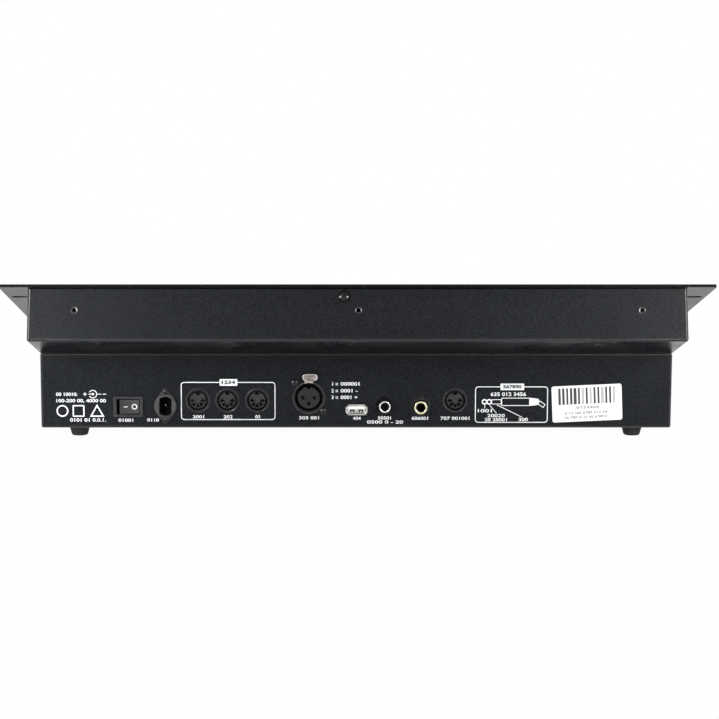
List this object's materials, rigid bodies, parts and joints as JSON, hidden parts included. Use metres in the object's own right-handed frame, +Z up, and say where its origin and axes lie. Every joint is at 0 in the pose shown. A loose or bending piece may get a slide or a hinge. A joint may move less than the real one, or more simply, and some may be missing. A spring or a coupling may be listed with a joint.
{
  "type": "dmx lighting controller",
  "caption": "Sloping rack-format DMX lighting desk with slide faders, keys, joystick, display and a rear panel of power, data, audio and remote sockets.",
  "frame": {"origin": "on the table under the middle of the desk's bounding box", "axes": "+Z up, +Y towards the socket side at the rear, the user sits at -Y, +X to the user's right"},
  "size_m": [0.4826, 0.2192, 0.1145],
  "materials": {
    "paint": "fine textured black powder coat",
    "black_plastic": "moulded, satin",
    "grey_plastic": "moulded, satin",
    "red_plastic": "moulded, satin",
    "rubber": "matt",
    "nickel": "bright nickel plate",
    "brass": "pale gold plate",
    "board": "green circuit board",
    "window": "clear acrylic, polished",
    "cable": "grey flat cable"
  },
  "bodies": {
    "root": {"top_panel": "paint", "upper_case": "paint", "lower_case": "paint", "foot_rear_left": "rubber", "foot_rear_right": "rubber", "foot_front_left": "rubber", "foot_front_right": "rubber", "control_board": "board", "fader_board": "board", "connector_board": "board", "display_module": "black_plastic", "display_window": "window", "joystick_housing": "black_plastic", "din_socket_thru": "black_plastic", "din_socket_out": "black_plastic", "din_socket_in": "black_plastic", "din_socket_fog": "black_plastic", "xlr_shell": "black_plastic", "xlr_insert": "black_plastic", "usb_port": "nickel", "rca_jack": "nickel", "remote_jack": "brass", "dc_jack": "grey_plastic", "rocker_frame": "black_plastic", "ribbon_cable": "cable"},
    "channel_fader_cap_1_body": {"channel_fader_cap_1": "black_plastic"},
    "channel_fader_cap_2_body": {"channel_fader_cap_2": "black_plastic"},
    "channel_fader_cap_3_body": {"channel_fader_cap_3": "black_plastic"},
    "channel_fader_cap_4_body": {"channel_fader_cap_4": "black_plastic"},
    "channel_fader_cap_5_body": {"channel_fader_cap_5": "black_plastic"},
    "channel_fader_cap_6_body": {"channel_fader_cap_6": "black_plastic"},
    "channel_fader_cap_7_body": {"channel_fader_cap_7": "black_plastic"},
    "channel_fader_cap_8_body": {"channel_fader_cap_8": "black_plastic"},
    "speed_fader_cap_body": {"speed_fader_cap": "black_plastic"},
    "fade_fader_cap_body": {"fade_fader_cap": "black_plastic"},
    "fixture_button_1_body": {"fixture_button_1": "grey_plastic"},
    "fixture_button_2_body": {"fixture_button_2": "grey_plastic"},
    "fixture_button_3_body": {"fixture_button_3": "grey_plastic"},
    "fixture_button_4_body": {"fixture_button_4": "grey_plastic"},
    "fixture_button_5_body": {"fixture_button_5": "grey_plastic"},
    "fixture_button_6_body": {"fixture_button_6": "grey_plastic"},
    "fixture_button_7_body": {"fixture_button_7": "grey_plastic"},
    "fixture_button_8_body": {"fixture_button_8": "grey_plastic"},
    "scene_button_1_body": {"scene_button_1": "grey_plastic"},
    "scene_button_2_body": {"scene_button_2": "grey_plastic"},
    "scene_button_3_body": {"scene_button_3": "grey_plastic"},
    "scene_button_4_body": {"scene_button_4": "grey_plastic"},
    "scene_button_5_body": {"scene_button_5": "grey_plastic"},
    "scene_button_6_body": {"scene_button_6": "grey_plastic"},
    "scene_button_7_body": {"scene_button_7": "grey_plastic"},
    "scene_button_8_body": {"scene_button_8": "grey_plastic"},
    "program_button_body": {"program_button": "grey_plastic"},
    "page_button_body": {"page_button": "grey_plastic"},
    "mode_button_body": {"mode_button": "grey_plastic"},
    "tap_button_body": {"tap_button": "grey_plastic"},
    "blackout_button_body": {"blackout_button": "red_plastic"},
    "joystick_gimbal_body": {"joystick_gimbal": "nickel"},
    "joystick_stick_body": {"joystick_stick": "black_plastic"},
    "power_rocker_body": {"power_rocker": "black_plastic"},
    "xlr_latch_body": {"xlr_latch": "nickel"}
  },
  "joints": [
    {"name": "joystick_tilt", "type": "hinge", "parent": "root", "child": "joystick_gimbal_body", "pos_m": [0.175, -0.04777, 0.06075], "axis": [1, 0, 0], "range_deg": [-20, 20], "stiffness_Nm_per_rad": 0.15},
    {"name": "joystick_pan", "type": "hinge", "parent": "joystick_gimbal_body", "child": "joystick_stick_body", "pos_m": [0.175, -0.04777, 0.06075], "axis": [0, 0.9613, 0.2756], "range_deg": [-20, 20], "stiffness_Nm_per_rad": 0.15},
    {"name": "power_rocker_tilt", "type": "hinge", "parent": "root", "child": "power_rocker_body", "pos_m": [0.1605, 0.05165, 0.0227], "axis": [0, 0, 1], "range_deg": [-20, 0]},
    {"name": "xlr_latch_press", "type": "slide", "parent": "root", "child": "xlr_latch_body", "axis": [0, -1, 0], "range_m": [0, 0.0012], "stiffness_N_per_m": 800, "springref_m": -0.001},
    {"name": "blackout_press", "type": "slide", "parent": "root", "child": "blackout_button_body", "axis": [0, 0.2756, -0.9613], "range_m": [0, 0.001], "stiffness_N_per_m": 300, "springref_m": -0.0005},
    {"name": "tap_press", "type": "slide", "parent": "root", "child": "tap_button_body", "axis": [0, 0.2756, -0.9613], "range_m": [0, 0.001], "stiffness_N_per_m": 300, "springref_m": -0.0005},
    {"name": "mode_press", "type": "slide", "parent": "root", "child": "mode_button_body", "axis": [0, 0.2756, -0.9613], "range_m": [0, 0.001], "stiffness_N_per_m": 300, "springref_m": -0.0005},
    {"name": "page_press", "type": "slide", "parent": "root", "child": "page_button_body", "axis": [0, 0.2756, -0.9613], "range_m": [0, 0.001], "stiffness_N_per_m": 300, "springref_m": -0.0005},
    {"name": "program_press", "type": "slide", "parent": "root", "child": "program_button_body", "axis": [0, 0.2756, -0.9613], "range_m": [0, 0.001], "stiffness_N_per_m": 300, "springref_m": -0.0005},
    {"name": "speed_fader_slide", "type": "slide", "parent": "root", "child": "speed_fader_cap_body", "axis": [0, 0.9613, 0.2756], "range_m": [0, 0.06]},
    {"name": "fade_fader_slide", "type": "slide", "parent": "root", "child": "fade_fader_cap_body", "axis": [0, 0.9613, 0.2756], "range_m": [0, 0.06]},
    {"name": "channel_fader_slide_1", "type": "slide", "parent": "root", "child": "channel_fader_cap_1_body", "axis": [0, 0.9613, 0.2756], "range_m": [0, 0.06]},
    {"name": "channel_fader_slide_2", "type": "slide", "parent": "root", "child": "channel_fader_cap_2_body", "axis": [0, 0.9613, 0.2756], "range_m": [0, 0.06]},
    {"name": "channel_fader_slide_3", "type": "slide", "parent": "root", "child": "channel_fader_cap_3_body", "axis": [0, 0.9613, 0.2756], "range_m": [0, 0.06]},
    {"name": "channel_fader_slide_4", "type": "slide", "parent": "root", "child": "channel_fader_cap_4_body", "axis": [0, 0.9613, 0.2756], "range_m": [0, 0.06]},
    {"name": "channel_fader_slide_5", "type": "slide", "parent": "root", "child": "channel_fader_cap_5_body", "axis": [0, 0.9613, 0.2756], "range_m": [0, 0.06]},
    {"name": "channel_fader_slide_6", "type": "slide", "parent": "root", "child": "channel_fader_cap_6_body", "axis": [0, 0.9613, 0.2756], "range_m": [0, 0.06]},
    {"name": "channel_fader_slide_7", "type": "slide", "parent": "root", "child": "channel_fader_cap_7_body", "axis": [0, 0.9613, 0.2756], "range_m": [0, 0.06]},
    {"name": "channel_fader_slide_8", "type": "slide", "parent": "root", "child": "channel_fader_cap_8_body", "axis": [0, 0.9613, 0.2756], "range_m": [0, 0.06]},
    {"name": "scene_press_1", "type": "slide", "parent": "root", "child": "scene_button_1_body", "axis": [0, 0.2756, -0.9613], "range_m": [0, 0.001], "stiffness_N_per_m": 300, "springref_m": -0.0005},
    {"name": "scene_press_2", "type": "slide", "parent": "root", "child": "scene_button_2_body", "axis": [0, 0.2756, -0.9613], "range_m": [0, 0.001], "stiffness_N_per_m": 300, "springref_m": -0.0005},
    {"name": "scene_press_3", "type": "slide", "parent": "root", "child": "scene_button_3_body", "axis": [0, 0.2756, -0.9613], "range_m": [0, 0.001], "stiffness_N_per_m": 300, "springref_m": -0.0005},
    {"name": "scene_press_4", "type": "slide", "parent": "root", "child": "scene_button_4_body", "axis": [0, 0.2756, -0.9613], "range_m": [0, 0.001], "stiffness_N_per_m": 300, "springref_m": -0.0005},
    {"name": "scene_press_5", "type": "slide", "parent": "root", "child": "scene_button_5_body", "axis": [0, 0.2756, -0.9613], "range_m": [0, 0.001], "stiffness_N_per_m": 300, "springref_m": -0.0005},
    {"name": "scene_press_6", "type": "slide", "parent": "root", "child": "scene_button_6_body", "axis": [0, 0.2756, -0.9613], "range_m": [0, 0.001], "stiffness_N_per_m": 300, "springref_m": -0.0005},
    {"name": "scene_press_7", "type": "slide", "parent": "root", "child": "scene_button_7_body", "axis": [0, 0.2756, -0.9613], "range_m": [0, 0.001], "stiffness_N_per_m": 300, "springref_m": -0.0005},
    {"name": "scene_press_8", "type": "slide", "parent": "root", "child": "scene_button_8_body", "axis": [0, 0.2756, -0.9613], "range_m": [0, 0.001], "stiffness_N_per_m": 300, "springref_m": -0.0005},
    {"name": "fixture_press_1", "type": "slide", "parent": "root", "child": "fixture_button_1_body", "axis": [0, 0.2756, -0.9613], "range_m": [0, 0.001], "stiffness_N_per_m": 300, "springref_m": -0.0005},
    {"name": "fixture_press_2", "type": "slide", "parent": "root", "child": "fixture_button_2_body", "axis": [0, 0.2756, -0.9613], "range_m": [0, 0.001], "stiffness_N_per_m": 300, "springref_m": -0.0005},
    {"name": "fixture_press_3", "type": "slide", "parent": "root", "child": "fixture_button_3_body", "axis": [0, 0.2756, -0.9613], "range_m": [0, 0.001], "stiffness_N_per_m": 300, "springref_m": -0.0005},
    {"name": "fixture_press_4", "type": "slide", "parent": "root", "child": "fixture_button_4_body", "axis": [0, 0.2756, -0.9613], "range_m": [0, 0.001], "stiffness_N_per_m": 300, "springref_m": -0.0005},
    {"name": "fixture_press_5", "type": "slide", "parent": "root", "child": "fixture_button_5_body", "axis": [0, 0.2756, -0.9613], "range_m": [0, 0.001], "stiffness_N_per_m": 300, "springref_m": -0.0005},
    {"name": "fixture_press_6", "type": "slide", "parent": "root", "child": "fixture_button_6_body", "axis": [0, 0.2756, -0.9613], "range_m": [0, 0.001], "stiffness_N_per_m": 300, "springref_m": -0.0005},
    {"name": "fixture_press_7", "type": "slide", "parent": "root", "child": "fixture_button_7_body", "axis": [0, 0.2756, -0.9613], "range_m": [0, 0.001], "stiffness_N_per_m": 300, "springref_m": -0.0005},
    {"name": "fixture_press_8", "type": "slide", "parent": "root", "child": "fixture_button_8_body", "axis": [0, 0.2756, -0.9613], "range_m": [0, 0.001], "stiffness_N_per_m": 300, "springref_m": -0.0005}
  ]
}
